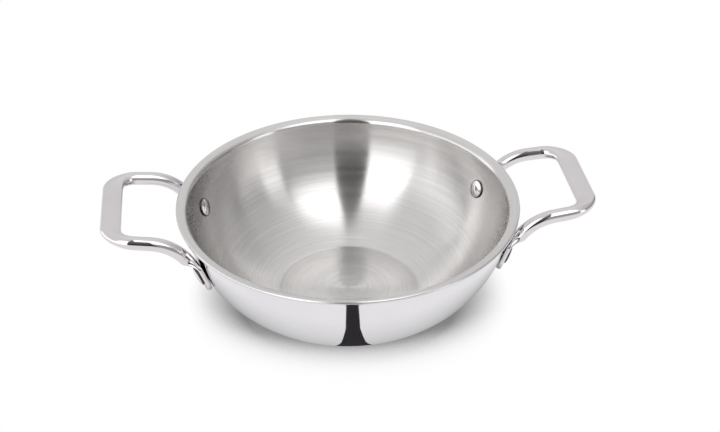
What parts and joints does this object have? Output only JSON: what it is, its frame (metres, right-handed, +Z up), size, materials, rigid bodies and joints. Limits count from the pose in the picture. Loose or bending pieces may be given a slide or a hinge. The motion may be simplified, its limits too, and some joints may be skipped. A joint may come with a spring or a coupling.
{
  "type": "kadai cooking pan",
  "caption": "Round deep cooking pan with a flared lip, a curved wall, a flat base and a riveted loop handle on each side.",
  "frame": {"origin": "centre of the flat base, on the surface that the pan stands on", "axes": "+X towards the right handle, +Z up, out of the bowl's mouth"},
  "size_m": [0.3008, 0.2118, 0.0775],
  "materials": {
    "mirror_steel": "mirror polished",
    "core_aluminium": "plain sheet, bonded between the steel sheets",
    "satin_steel": "circular satin brushing",
    "handle_steel": "polished",
    "rivet_steel": "polished"
  },
  "bodies": {
    "root": {"bowl_outer_layer": "mirror_steel", "bowl_core_layer": "core_aluminium", "bowl_inner_layer": "satin_steel", "left_handle": "handle_steel", "right_handle": "handle_steel", "handle_rivets": "rivet_steel"}
  },
  "joints": []
}
